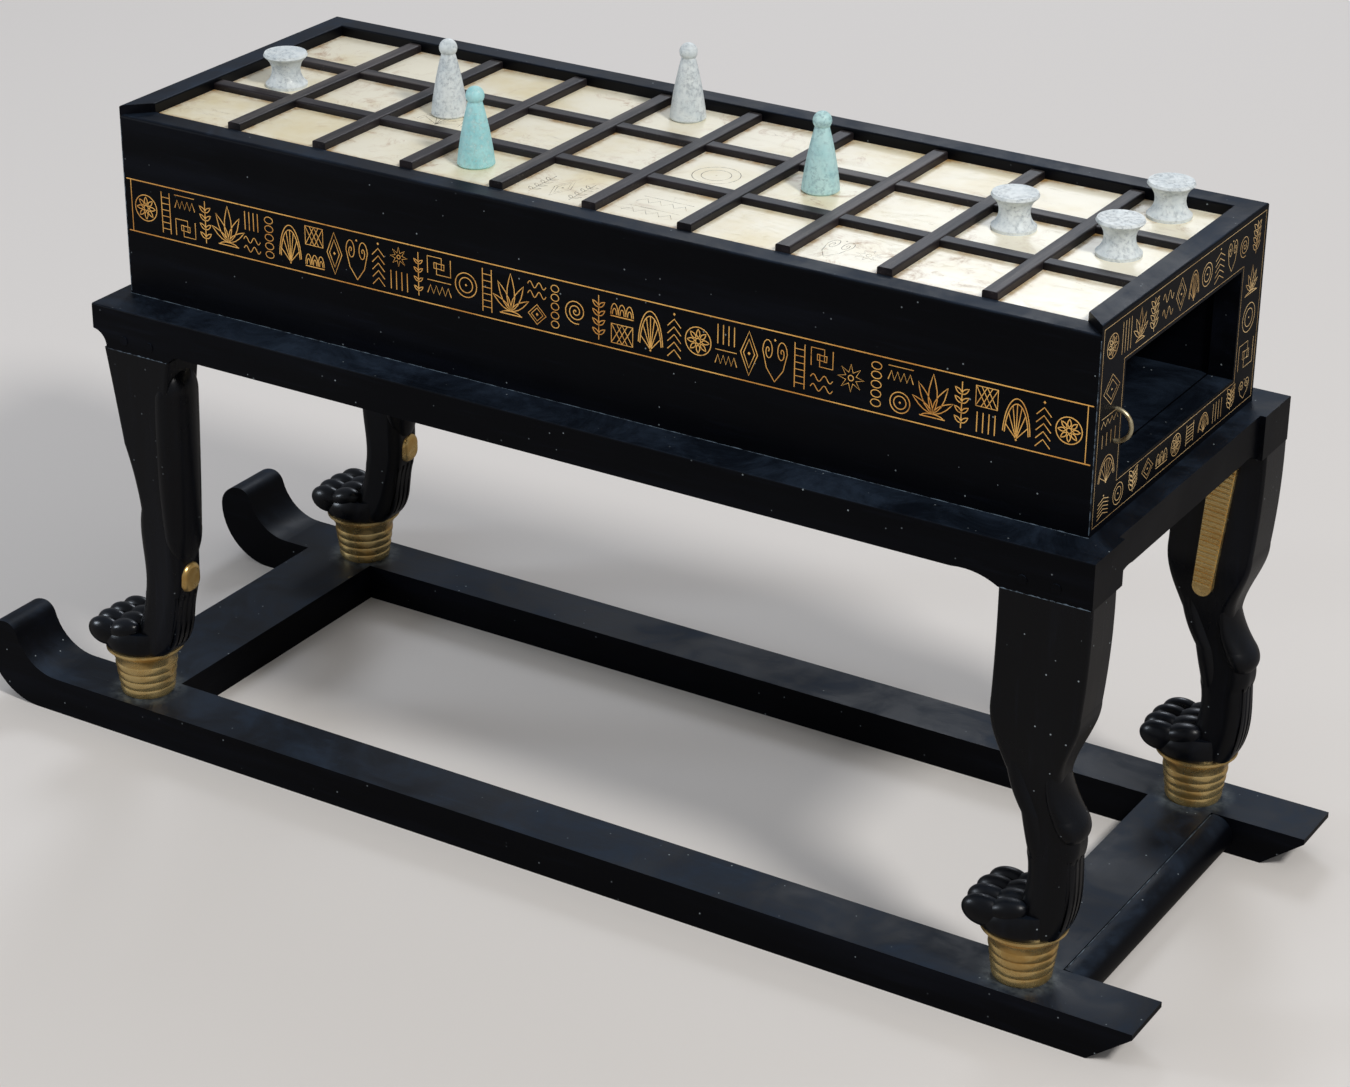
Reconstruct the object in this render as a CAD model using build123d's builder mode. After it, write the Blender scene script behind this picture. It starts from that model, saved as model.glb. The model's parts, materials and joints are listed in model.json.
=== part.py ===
"""A long game box with thirty ivory squares, standing on a lion-legged stand with a sled base."""
import os
from math import cos, radians, sin
from build123d import *

os.makedirs("parts", exist_ok=True)

# Game box
box_length = 460.0
box_width = 154.0
wall_height = 81.2
wall_thick = 10.8
corner_round = 1.5
rim_height = 4.0
square_drop = 0.8
square_thick = 1.5
top_board_thick = 4.5
bottom_board_thick = 6.0
underside_recess = 4.5

# Playing surface
column_count = 10
row_count = 3
strip_width = 6.6
strip_rise = 3.2
long_strip_rise = 2.8
strip_setback = 1.6
square_gap = 0.15

# Drawer bay
jamb_width = 23.0
sill_height = 17.0
header_height = 17.7
bay_depth = 190.0
bay_wall_thick = 4.0
bay_side_gap = 2.0
bay_floor_setback = 0.8
cut_margin = 1.0

# Staple beside the drawer opening
staple_radius = 6.5
staple_wire = 0.9
staple_prong = 6.0
staple_inset = 17.0
staple_rise = 40.0

# Underside board
under_columns = 12
block_columns = 4
under_strip_width = 4.0
under_strip_rise = 2.0
under_panel_thick = 2.5

# Stand frame
left_ledge = 6.5
right_ledge = 11.7
front_ledge = 19.0
back_ledge = 13.0
rail_depth = 16.0
rail_width = 26.0
corner_depth = 19.5
end_rail_width = 24.0
end_rail_recess = 2.5
bracket_length = 20.0
short_bracket = 8.0
end_bracket = 14.0
cavetto_height = 8.0
cavetto_setback = 1.0
cove_run = 0.28
cove_climb = 0.70
joint_clearance = 0.2
rail_tenon_depth = 8.0
rail_tenon_height = 8.0
rail_shoulder = 4.0
edge_round = 0.8

# Legs
leg_width = 22.0
leg_height = 147.8
fore_inset = 7.9
hind_inset = 24.7
leg_tenon_length = 24.0
leg_tenon_width = 9.0
leg_tenon_height = 11.0
fore_tenon_shift = 16.0
hind_tenon_shift = 2.5
peg_radius = 2.1
peg_spacing = 14.0
peg_depth = 17.0
peg_proud = 0.3
lean_share = 0.66

# Paws
toe_count = 4
toe_pitch = 8.0
toe_half_length = 9.5
toe_half_width = 4.8
toe_half_height = 6.7
toe_reach = 14.0
toe_lift = 7.1
toe_fan = 0.7
knuckle_reach = 4.6
knuckle_lift = 10.0
knuckle_length = 8.8
knuckle_radius = 5.0
knuckle_rise = 18.0
knuckle_spacing = 7.5
knuckle_fan = 1.4
sole_length = 17.4
sole_width = 16.8
sole_height = 10.0
sole_shift = 0.8
groove_radius = 0.9
groove_pitch = 3.6
fore_groove_width = 19.5
fore_groove_corner = 5.6
hind_groove_width = 20.0
hind_groove_corner = 6.8

# Gilt fittings
drum_height = 24.2
drum_foot_radius = 11.7
drum_rim_radius = 17.8
drum_bands = 4
band_height = 4.1
band_growth = 0.55
band_swell = 0.5
flare_run = 0.36
flare_climb = 0.56
drum_rim_edge = 1.2
pad_share = 0.272
pad_depth = 7.0
pad_width = 12.0
pad_height = 14.0
pad_corner = 5.4
pad_round = 2.6
ribbed_width = 8.6
ribbed_top_width = 11.4
ribbed_length = 63.0
ribbed_thick = 2.0
rib_count = 26
rib_radius = 0.8
rib_setback = 0.3
ribbed_tilt = 5.5
ribbed_shift = 2.3
ribbed_foot_share = 0.568

# Sled
drum_track = 167.0
drum_offset = 10.5
runner_width = 27.5
runner_thick = 17.5
curl_reach = 81.4
heel_reach = 56.0
curl_radius = 28.0
curl_height = 39.5
curl_nose = 6.5
curl_nose_drop = 5.0
heel_bevel = 19.0
heel_face = 2.5
fore_bar_width = 38.0
fore_bar_shift = 27.4
hind_board_width = 29.7
hind_board_shift = 16.5
seam_chamfer = 1.0
seam_gap = 0.5
bar_shoulder = 5.0
round_bar_depth = 10.75
bar_tenon_depth = 10.0
bar_tenon_height = 8.0
frame_shift_y = -1.5

# Playing pieces
cone_height = 33.5
cone_base_radius = 7.9
cone_neck_radius = 3.0
cone_knob_radius = 3.9
cone_foot_bevel = 0.8
cone_collar_height = 3.5
cone_collar_growth = 0.9
cone_flank_swell = 2.4
reel_height = 15.0
reel_base_radius = 9.2
reel_waist_radius = 6.3
reel_rim_radius = 9.7
reel_foot_lip = 1.3
reel_rim_lip = 1.8
reel_rim_edge = 1.1
reel_rim_bevel = 0.5
reel_waist_share = 0.52

# Positions along the stand
frame_length = box_length + left_ledge + right_ledge
frame_width = box_width + front_ledge + back_ledge
drum_span = frame_length - fore_inset - hind_inset
runner_length = curl_reach + drum_span + heel_reach
runner_left = -runner_length / 2
runner_right = runner_length / 2
fore_x = runner_left + curl_reach
hind_x = fore_x + drum_span
frame_left = fore_x - fore_inset
frame_right = hind_x + hind_inset
frame_front = frame_shift_y - frame_width / 2
frame_back = frame_shift_y + frame_width / 2
leg_front_y = frame_front + leg_width / 2
leg_back_y = frame_back - leg_width / 2
drum_y = drum_track / 2
track_inner = drum_y - drum_offset
track_outer = track_inner + runner_width
box_left = frame_left + left_ledge
box_right = box_left + box_length
box_front = frame_front + front_ledge
box_back = box_front + box_width
box_x = (box_left + box_right) / 2
box_y = (box_front + box_back) / 2

# Heights
drum_top = runner_thick + drum_height
leg_top = drum_top + leg_height
frame_top = leg_top + corner_depth
rail_bottom = frame_top - rail_depth
wall_top = frame_top + wall_height
rim_top = wall_top + rim_height
square_top = wall_top - square_drop
board_top = square_top - square_thick
bottom_board_low = frame_top + underside_recess
bottom_board_top = bottom_board_low + bottom_board_thick
sill_top = frame_top + sill_height
opening_top = wall_top - header_height

# Interior of the box and the grid of squares
inner_length = box_length - 2 * wall_thick
inner_width = box_width - 2 * wall_thick
inner_left = box_left + wall_thick
inner_right = box_right - wall_thick
inner_front = box_front + wall_thick
inner_back = box_back - wall_thick
column_pitch = (inner_length + strip_width) / column_count
row_pitch = (inner_width + strip_width) / row_count
square_length = column_pitch - strip_width
square_width = row_pitch - strip_width
opening_width = box_width - 2 * jamb_width


def column_x(column):
    return box_x + (column - (column_count - 1) / 2) * column_pitch


def row_y(row):
    return box_y + (row - (row_count - 1) / 2) * row_pitch


def block(low, high, mode=Mode.ADD):
    """A box between two opposite corners, in the builder that is open."""
    size = [high[i] - low[i] for i in range(3)]
    middle = [(high[i] + low[i]) / 2 for i in range(3)]
    with Locations(tuple(middle)):
        Box(size[0], size[1], size[2], mode=mode)


def mitred_bar(corners, low, high):
    """A straight wall or rim with mitred ends, from its four plan corners."""
    with BuildSketch(Plane.XY.offset(low)) as plan:
        with BuildLine():
            Polyline(*corners, close=True)
        make_face()
    extrude(plan.sketch, amount=high - low)


front_plan = [
    (box_left, box_front),
    (box_right, box_front),
    (inner_right, inner_front),
    (inner_left, inner_front),
]
back_plan = [
    (box_left, box_back),
    (box_right, box_back),
    (inner_right, inner_back),
    (inner_left, inner_back),
]
left_plan = [
    (box_left, box_front),
    (box_left, box_back),
    (inner_left, inner_back),
    (inner_left, inner_front),
]
right_plan = [
    (box_right, box_front),
    (box_right, box_back),
    (inner_right, inner_back),
    (inner_right, inner_front),
]

# Walls of the box, mitred at the corners
with BuildPart() as front_panel:
    mitred_bar(front_plan, frame_top, wall_top)
    outer_edge = front_panel.edges().filter_by(Axis.X).group_by(Axis.Y)[0].sort_by(Axis.Z)[-1]
    fillet(outer_edge, corner_round)
front_panel.part.label = "front_panel"
export_step(front_panel.part, "parts/front_panel.step")

with BuildPart() as back_panel:
    mitred_bar(back_plan, frame_top, wall_top)
back_panel.part.label = "back_panel"
export_step(back_panel.part, "parts/back_panel.step")

with BuildPart() as left_end_panel:
    mitred_bar(left_plan, frame_top, wall_top)
left_end_panel.part.label = "left_end_panel"
export_step(left_end_panel.part, "parts/left_end_panel.step")

staple_y = box_front + staple_inset
staple_z = frame_top + staple_rise
with BuildPart() as right_end_panel:
    mitred_bar(right_plan, frame_top, wall_top)
    opening_low = (inner_right - cut_margin, box_y - opening_width / 2, sill_top)
    opening_high = (box_right + cut_margin, box_y + opening_width / 2, opening_top)
    block(opening_low, opening_high, Mode.SUBTRACT)
    with BuildSketch(Plane.YZ.offset(box_right)):
        with Locations((staple_y, staple_z - staple_radius), (staple_y, staple_z + staple_radius)):
            Circle(staple_wire)
    extrude(amount=-staple_prong, mode=Mode.SUBTRACT)
right_end_panel.part.label = "right_end_panel"
export_step(right_end_panel.part, "parts/right_end_panel.step")

# Rims round the playing surface: left, back and right
with BuildPart() as rim_left:
    mitred_bar(left_plan, wall_top, rim_top)
    fillet(rim_left.edges().filter_by(Axis.Y).group_by(Axis.Z)[-1], edge_round)
rim_left.part.label = "rim_left"
export_step(rim_left.part, "parts/rim_left.step")

with BuildPart() as rim_back:
    mitred_bar(back_plan, wall_top, rim_top)
    fillet(rim_back.edges().filter_by(Axis.X).group_by(Axis.Z)[-1], edge_round)
rim_back.part.label = "rim_back"
export_step(rim_back.part, "parts/rim_back.step")

with BuildPart() as rim_right:
    mitred_bar(right_plan, wall_top, rim_top)
    fillet(rim_right.edges().filter_by(Axis.Y).group_by(Axis.Z)[-1], edge_round)
rim_right.part.label = "rim_right"
export_step(rim_right.part, "parts/rim_right.step")

# Boards inside the walls
with BuildPart() as top_board:
    block((inner_left, inner_front, board_top - top_board_thick), (inner_right, inner_back, board_top))
top_board.part.label = "top_board"
export_step(top_board.part, "parts/top_board.step")

with BuildPart() as bottom_board:
    block((inner_left, inner_front, bottom_board_low), (inner_right, inner_back, bottom_board_top))
bottom_board.part.label = "bottom_board"
export_step(bottom_board.part, "parts/bottom_board.step")

# The drawer bay: floor, two sides and an end wall
bay_left = inner_right - bay_depth
bay_front = box_y - opening_width / 2 - bay_side_gap
bay_back = box_y + opening_width / 2 + bay_side_gap
bay_ceiling = board_top - top_board_thick
with BuildPart() as bay_floor:
    block((bay_left, bay_front, bottom_board_top), (inner_right - bay_floor_setback, bay_back, sill_top))
bay_floor.part.label = "bay_floor"
export_step(bay_floor.part, "parts/bay_floor.step")

with BuildPart() as bay_side_front:
    side_low = (bay_left, bay_front - bay_wall_thick, bottom_board_top)
    block(side_low, (inner_right, bay_front, bay_ceiling))
bay_side_front.part.label = "bay_side_front"
export_step(bay_side_front.part, "parts/bay_side_front.step")

with BuildPart() as bay_side_back:
    side_high = (inner_right, bay_back + bay_wall_thick, bay_ceiling)
    block((bay_left, bay_back, bottom_board_top), side_high)
bay_side_back.part.label = "bay_side_back"
export_step(bay_side_back.part, "parts/bay_side_back.step")

with BuildPart() as bay_end_wall:
    end_low = (bay_left - bay_wall_thick, bay_front - bay_wall_thick, bottom_board_top)
    block(end_low, (bay_left, bay_back + bay_wall_thick, bay_ceiling))
bay_end_wall.part.label = "bay_end_wall"
export_step(bay_end_wall.part, "parts/bay_end_wall.step")

# Ivory squares, one row to a node
row_names = ["squares_front_row", "squares_middle_row", "squares_back_row"]
for row, row_name in enumerate(row_names):
    with BuildPart() as square_row:
        for column in range(column_count):
            with BuildSketch(Plane.XY.offset(board_top)):
                with Locations((column_x(column), row_y(row))):
                    Rectangle(square_length - 2 * square_gap, square_width - 2 * square_gap)
            extrude(amount=square_thick)
    square_row.part.label = row_name
    export_step(square_row.part, f"parts/{row_name}.step")

# Strips between the squares: nine across, and short lengths between them in two lines
with BuildPart() as cross_strips:
    for column in range(1, column_count):
        strip_x = (column_x(column - 1) + column_x(column)) / 2
        strip_low = (strip_x - strip_width / 2, inner_front + strip_setback, board_top)
        strip_high = (strip_x + strip_width / 2, inner_back, square_top + strip_rise)
        block(strip_low, strip_high)
    fillet(cross_strips.edges().filter_by(Axis.Y).group_by(Axis.Z)[-1], edge_round)
cross_strips.part.label = "cross_strips"
export_step(cross_strips.part, "parts/cross_strips.step")

line_names = ["long_strips_front", "long_strips_back"]
for line, line_name in enumerate(line_names):
    line_y = (row_y(line) + row_y(line + 1)) / 2
    with BuildPart() as line_strips:
        for column in range(column_count):
            strip_x = column_x(column)
            strip_low = (strip_x - square_length / 2, line_y - strip_width / 2, board_top)
            strip_high = (strip_x + square_length / 2, line_y + strip_width / 2, square_top + long_strip_rise)
            block(strip_low, strip_high)
        fillet(line_strips.edges().filter_by(Axis.X).group_by(Axis.Z)[-1], edge_round)
    line_strips.part.label = line_name
    export_step(line_strips.part, f"parts/{line_name}.step")

# The second game on the underside: a block of twelve squares and a lane of eight
under_pitch = (inner_length + under_strip_width) / under_columns
under_row_pitch = (inner_width + under_strip_width) / row_count
under_length = under_pitch - under_strip_width
under_width = under_row_pitch - under_strip_width


def under_x(column):
    return box_x + (column - (under_columns - 1) / 2) * under_pitch


def under_y(row):
    return box_y + (row - (row_count - 1) / 2) * under_row_pitch


with BuildPart() as underside_squares:
    for column in range(under_columns):
        rows = range(row_count) if column < block_columns else [1]
        for row in rows:
            with BuildSketch(Plane.XY.offset(bottom_board_low - square_thick)):
                with Locations((under_x(column), under_y(row))):
                    Rectangle(under_length - 2 * square_gap, under_width - 2 * square_gap)
            extrude(amount=square_thick)
underside_squares.part.label = "underside_squares"
export_step(underside_squares.part, "parts/underside_squares.step")

under_strip_low = bottom_board_low - square_thick - under_strip_rise
with BuildPart() as underside_long_strips:
    for line in range(row_count - 1):
        line_y = (under_y(line) + under_y(line + 1)) / 2
        strip_low = (inner_left, line_y - under_strip_width / 2, under_strip_low)
        block(strip_low, (inner_right, line_y + under_strip_width / 2, bottom_board_low))
underside_long_strips.part.label = "underside_long_strips"
export_step(underside_long_strips.part, "parts/underside_long_strips.step")

with BuildPart() as underside_cross_strips:
    for column in range(1, under_columns):
        strip_x = (under_x(column - 1) + under_x(column)) / 2
        rows = range(row_count) if column <= block_columns else [1]
        for row in rows:
            half_strip = under_strip_width / 2
            strip_low = (strip_x - half_strip, under_y(row) - under_width / 2, under_strip_low)
            block(strip_low, (strip_x + half_strip, under_y(row) + under_width / 2, bottom_board_low))
underside_cross_strips.part.label = "underside_cross_strips"
export_step(underside_cross_strips.part, "parts/underside_cross_strips.step")

panel_left = under_x(block_columns) - under_length / 2
with BuildPart() as underside_plain_panels:
    for row in (0, row_count - 1):
        panel_low = (panel_left, under_y(row) - under_width / 2, bottom_board_low - under_panel_thick)
        block(panel_low, (inner_right, under_y(row) + under_width / 2, bottom_board_low))
underside_plain_panels.part.label = "underside_plain_panels"
export_step(underside_plain_panels.part, "parts/underside_plain_panels.step")

# A half-ring staple beside the opening, driven into the end panel by two prongs
with BuildPart() as staple:
    with BuildLine() as staple_path:
        prong_x = box_right - staple_prong
        lower = (prong_x, staple_y, staple_z - staple_radius)
        lower_face = (box_right, staple_y, staple_z - staple_radius)
        upper_face = (box_right, staple_y, staple_z + staple_radius)
        upper = (prong_x, staple_y, staple_z + staple_radius)
        Line(lower, lower_face)
        ThreePointArc(lower_face, (box_right + staple_radius, staple_y, staple_z), upper_face)
        Line(upper_face, upper)
    with BuildSketch(Plane.YZ.offset(prong_x)):
        with Locations((staple_y, staple_z - staple_radius)):
            Circle(staple_wire)
    sweep(path=staple_path.wires()[0])
staple.part.label = "staple"
export_step(staple.part, "parts/staple.step")

# Legs: (share of the height, front edge, back edge, width, corner radius) for each section.
# Each list is one stretch of the leg, and the next stretch starts at its last section.
foot_top = (0.235, 1.0, 21.8, 18.4, 6.5)
hock_top = (0.445, -8.0, 14.3, 17.0, 5.5)
thigh_low = (0.680, -15.4, 22.4, leg_width, 1.8)
hind_stretches = [
    [(0.000, -4.0, 17.4, 23.0, 7.5), (0.055, -1.0, 20.5, 22.5, 7.5), (0.130, 1.6, 22.0, 20.5, 7.0), foot_top],
    [foot_top, (0.300, -0.2, 22.6, 17.2, 6.0), (0.375, -3.7, 18.8, 16.6, 6.0), hock_top],
    [hock_top, (0.520, -12.0, 15.5, 18.8, 4.0), (0.600, -15.0, 20.0, 21.6, 2.6), thigh_low],
    [thigh_low, (0.830, -14.6, 24.2, leg_width, 1.5), (1.000, -14.4, hind_inset, leg_width, 1.5)],
]
wrist_low = (0.200, 7.7, 27.4, 19.0, 5.0)
wrist_top = (0.490, 9.8, 28.5, 20.0, 3.5)
arm_low = (0.700, 4.4, 29.0, leg_width, 1.8)
fore_stretches = [
    [(0.000, -4.0, 17.4, 23.0, 7.5), (0.040, -1.0, 22.0, 22.5, 7.5), (0.110, 4.2, 24.8, 20.5, 6.0), wrist_low],
    [wrist_low, (0.290, 8.7, 29.2, 19.0, 5.0), (0.400, 8.0, 29.0, 19.4, 4.5), wrist_top],
    [wrist_top, (0.590, 8.2, 29.0, 21.0, 2.6), arm_low],
    [arm_low, (0.850, 1.0, 30.0, leg_width, 1.5), (1.000, -2.8, 33.0, leg_width, 1.5)],
]
# Rounded masses on the legs: (share of the height, middle, half depth, half width)
roll_low = (0.430, 26.4, 6.8, 10.4)
roll_high = (0.880, 27.2, 8.4, leg_width / 2 + 0.6)
roll_stretches = [
    [(0.325, 28.0, 2.4, 4.5), (0.365, 27.4, 4.6, 8.6), roll_low],
    [roll_low, (0.640, 26.2, 8.4, leg_width / 2 + 0.4), roll_high],
    [roll_high, (0.920, 27.6, 7.2, 10.2), (0.955, 27.8, 4.0, 6.8)],
]
heel_middle = (0.365, 15.6, 6.2, 10.0)
heel_stretches = [
    [(0.285, 18.4, 2.4, 5.0), (0.318, 18.6, 5.8, 9.4), heel_middle],
    [heel_middle, (0.440, 11.2, 4.4, 9.6), (0.530, 10.6, 3.2, 7.6)],
]
shin_middle = (0.360, 3.2, 6.0, 10.2)
shin_stretches = [
    [(0.170, 7.2, 4.0, 6.0), (0.260, 6.0, 5.6, 9.8), shin_middle],
    [shin_middle, (0.450, -2.8, 6.2, 10.2), (0.570, -6.6, 5.0, 7.4)],
]
# Sole of the paw: (share of its height, how much longer, how much wider)
sole_levels = [(0.0, 0.0, 0.0), (0.45, 1.4, 0.5), (1.0, -2.4, -1.8)]
# Back edge of the foot where the tendon grooves run: (share of the height, back edge)
fore_groove_line = [(0.215, 27.6), (0.120, 25.2), (0.030, 20.8)]
hind_groove_line = [(0.250, 22.0), (0.130, 22.0), (0.030, 19.3)]


def section_z(share):
    return drum_top + share * leg_height


def section_y(share, leg_y, paw_y):
    """The leg stands under the frame and leans so that its paw is on the drum."""
    lean = max(0.0, 1.0 - share / lean_share)
    return leg_y + (paw_y - leg_y) * lean


def leg_body(stretches, leg_x, leg_y, paw_y):
    for stretch in stretches:
        outlines = []
        for share, front_edge, back_edge, width, corner in stretch:
            with BuildSketch(Plane.XY.offset(section_z(share))) as outline:
                middle = leg_x + (front_edge + back_edge) / 2
                with Locations((middle, section_y(share, leg_y, paw_y))):
                    RectangleRounded(back_edge - front_edge, width, corner)
            outlines.append(outline.sketch)
        loft(outlines)


def rounded_mass(stretches, leg_x, leg_y, paw_y):
    """A rounded roll or bulge of muscle or bone, lofted through ellipses."""
    for stretch in stretches:
        outlines = []
        for share, middle, half_depth, half_width in stretch:
            with BuildSketch(Plane.XY.offset(section_z(share))) as outline:
                with Locations((leg_x + middle, section_y(share, leg_y, paw_y))):
                    Ellipse(half_depth, half_width)
            outlines.append(outline.sketch)
        loft(outlines)


def tilted_lump(center, half_length, radius, pitch):
    """A rounded lump along X, whose far end rises by an angle in degrees."""
    along = (cos(radians(pitch)), 0, sin(radians(pitch)))
    with BuildSketch(Plane(origin=center, x_dir=along, z_dir=(0, -1, 0))) as half_lump:
        Ellipse(half_length, radius)
        with Locations((0, -radius)):
            Rectangle(2 * half_length, 2 * radius, mode=Mode.SUBTRACT)
    revolve(half_lump.sketch, axis=Axis(center, along))


def paw(leg_x, paw_y):
    """A fleshy sole on the drum, with toes side by side and a knuckle behind each."""
    outlines = []
    for level, longer, wider in sole_levels:
        with BuildSketch(Plane.XY.offset(drum_top + level * sole_height)) as outline:
            with Locations((leg_x - sole_shift - longer / 2, paw_y)):
                Ellipse(sole_length + longer / 2, sole_width + wider)
        outlines.append(outline.sketch)
    loft(outlines)
    for toe in range(toe_count):
        across = toe - (toe_count - 1) / 2
        toe_y = paw_y + across * toe_pitch
        toe_x = leg_x - toe_reach + toe_fan * across**2
        toe_size = (toe_half_length, toe_half_width, toe_half_height)
        toe_lump = scale(Sphere(1.0, mode=Mode.PRIVATE), by=toe_size, mode=Mode.PRIVATE)
        add(toe_lump.moved(Location((toe_x, toe_y, drum_top + toe_lift))))
        knuckle_x = leg_x - knuckle_reach + knuckle_fan * abs(across)
        knuckle_y = paw_y + across * knuckle_spacing
        knuckle_center = (knuckle_x, knuckle_y, drum_top + knuckle_lift)
        tilted_lump(knuckle_center, knuckle_length, knuckle_radius, knuckle_rise)


def leg_tenon(leg_x, leg_y, shift):
    low = (leg_x + shift - leg_tenon_length / 2, leg_y - leg_tenon_width / 2, leg_top)
    high = (leg_x + shift + leg_tenon_length / 2, leg_y + leg_tenon_width / 2, leg_top + leg_tenon_height)
    block(low, high)


def peg_holes(leg_x, leg_y, shift, outward):
    """Two round holes through the rail's outer face and the leg's tenon, for the pegs."""
    face_y = leg_y + outward * leg_width / 2
    peg_z = leg_top + leg_tenon_height / 2
    with BuildSketch(Plane.XZ.offset(-face_y)) as pegs:
        with Locations((leg_x + shift - peg_spacing / 2, peg_z), (leg_x + shift + peg_spacing / 2, peg_z)):
            Circle(peg_radius)
    extrude(pegs.sketch, amount=outward * peg_depth, mode=Mode.SUBTRACT)


def groove(points, radius):
    """A round-bottomed groove along an arc through three points."""
    with BuildLine() as groove_path:
        ThreePointArc(*points)
    with BuildSketch(Plane(origin=groove_path.line @ 0, z_dir=groove_path.line % 0)) as round_tool:
        Circle(radius)
    sweep(round_tool.sketch, path=groove_path.line, mode=Mode.SUBTRACT)


def tendon_grooves(leg_x, paw_y, backs, width, corner):
    """Parallel grooves down the back of the foot, wrapping round its corners."""
    for step in (-2, -1, 0, 1, 2):
        off_flat = max(0.0, abs(step * groove_pitch) - (width / 2 - corner))
        setback = corner - (corner**2 - off_flat**2) ** 0.5
        groove_y = paw_y + step * groove_pitch
        groove([(leg_x + back - setback, groove_y, section_z(share)) for share, back in backs], groove_radius)


def pad_block(leg_x, paw_y, mode):
    """The gilt pad behind the wrist, and the pocket that it sits in."""
    with BuildSketch(Plane.YZ.offset(leg_x + wrist_low[2] - pad_depth / 2)) as pad_outline:
        with Locations((paw_y, section_z(pad_share))):
            RectangleRounded(pad_width, pad_height, pad_corner)
    extrude(pad_outline.sketch, amount=pad_depth, mode=mode)


leg_sides = [("front", leg_front_y, -drum_y, -1), ("back", leg_back_y, drum_y, 1)]
for side, leg_y, paw_y, outward in leg_sides:
    with BuildPart() as foreleg:
        leg_body(fore_stretches, fore_x, leg_y, paw_y)
        rounded_mass(roll_stretches, fore_x, leg_y, paw_y)
        paw(fore_x, paw_y)
        tendon_grooves(fore_x, paw_y, fore_groove_line, fore_groove_width, fore_groove_corner)
        pad_block(fore_x, paw_y, Mode.SUBTRACT)
        leg_tenon(fore_x, leg_y, fore_tenon_shift)
        peg_holes(fore_x, leg_y, fore_tenon_shift, outward)
    foreleg.part.label = f"foreleg_{side}"
    export_step(foreleg.part, f"parts/foreleg_{side}.step")

    with BuildPart() as hind_leg:
        leg_body(hind_stretches, hind_x, leg_y, paw_y)
        rounded_mass(heel_stretches, hind_x, leg_y, paw_y)
        rounded_mass(shin_stretches, hind_x, leg_y, paw_y)
        paw(hind_x, paw_y)
        tendon_grooves(hind_x, paw_y, hind_groove_line, hind_groove_width, hind_groove_corner)
        leg_tenon(hind_x, leg_y, hind_tenon_shift)
        peg_holes(hind_x, leg_y, hind_tenon_shift, outward)
    hind_leg.part.label = f"hind_leg_{side}"
    export_step(hind_leg.part, f"parts/hind_leg_{side}.step")

    with BuildPart() as carpal_pad:
        pad_block(fore_x, paw_y, Mode.ADD)
        fillet(carpal_pad.faces().sort_by(Axis.X)[-1].edges(), pad_round)
        add(foreleg.part, mode=Mode.SUBTRACT)
    carpal_pad.part.label = f"carpal_pad_{side}"
    export_step(carpal_pad.part, f"parts/carpal_pad_{side}.step")

    # Ribbed gilt strip on the inner face of the hind leg, rounded at its lower tip
    strip_y = leg_y - outward * (leg_width / 2 - ribbed_thick)
    strip_start = (hind_x + ribbed_shift, strip_y, section_z(ribbed_foot_share))
    strip_lean = (cos(radians(ribbed_tilt)), 0, -sin(radians(ribbed_tilt)))
    strip_plane = Plane(origin=strip_start, x_dir=strip_lean, z_dir=(0, -outward, 0))
    upward = 1 if outward > 0 else -1
    with BuildPart() as ribbed_strip:
        with BuildSketch(strip_plane):
            Circle(ribbed_width / 2)
            strip_end = upward * ribbed_length
            low_half = ribbed_width / 2
            top_half = ribbed_top_width / 2
            low_corners = [(-low_half, 0), (low_half, 0)]
            with BuildLine():
                Polyline(*low_corners, (top_half, strip_end), (-top_half, strip_end), close=True)
            make_face()
        extrude(amount=2 * ribbed_thick)
        for rib in range(rib_count):
            share = (rib + 0.5) / rib_count
            rib_half = low_half + (top_half - low_half) * share - rib_setback
            rib_center = strip_plane.from_local_coords(Vector(0, share * strip_end, 2 * ribbed_thick))
            with BuildSketch(Plane(origin=rib_center, x_dir=strip_plane.y_dir, z_dir=strip_plane.x_dir)):
                Circle(rib_radius)
            extrude(amount=rib_half, both=True)
        add(hind_leg.part, mode=Mode.SUBTRACT)
    ribbed_strip.part.label = f"ribbed_strip_{side}"
    export_step(ribbed_strip.part, f"parts/ribbed_strip_{side}.step")



def cove_between(low, high):
    """A point on the hollow curve between a leg's block and the rail above it."""
    return (low[0] + cove_run * (high[0] - low[0]), low[1] + cove_climb * (high[1] - low[1]))


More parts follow.
